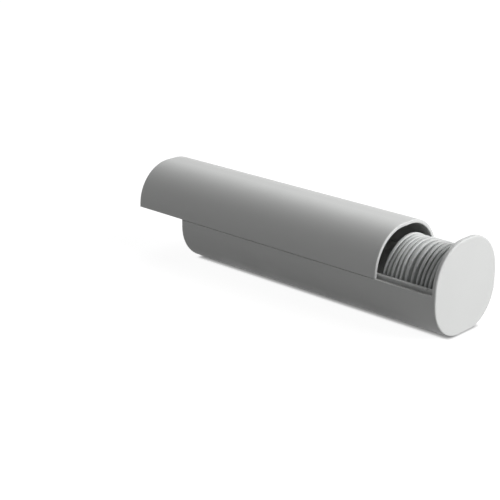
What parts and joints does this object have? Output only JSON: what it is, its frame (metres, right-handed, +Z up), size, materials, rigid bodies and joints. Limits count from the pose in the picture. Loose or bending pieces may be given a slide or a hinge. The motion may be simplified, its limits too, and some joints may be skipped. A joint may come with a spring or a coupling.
{
  "type": "cotton pad dispenser",
  "caption": "Tube-shaped cotton pad dispenser lying on a flat underside: a tray with a round end plate, a half-shell cover that slides back on rails, and a row of pads on edge.",
  "frame": {"origin": "bottom centre of the whole dispenser's box, with the cover part way open as in the picture", "axes": "+X along the tube towards the front end plate, +Y across it, +Z up"},
  "size_m": [0.2874, 0.07, 0.0681],
  "materials": {
    "tray_plastic": "fine satin, light grey, moulded",
    "cover_plastic": "fine satin, light grey, moulded",
    "cotton": "pressed cotton wool with a soft fibrous surface"
  },
  "bodies": {
    "tray": {"tray": "tray_plastic", "pad_01": "cotton", "pad_02": "cotton", "pad_03": "cotton", "pad_04": "cotton", "pad_05": "cotton", "pad_06": "cotton", "pad_07": "cotton", "pad_08": "cotton", "pad_09": "cotton", "pad_10": "cotton", "pad_11": "cotton", "pad_12": "cotton"},
    "cover": {"cover": "cover_plastic"}
  },
  "joints": [
    {"name": "cover_slide", "type": "slide", "parent": "tray", "child": "cover", "axis": [-1, 0, 0], "range_m": [-0.0475, 0.153]}
  ]
}
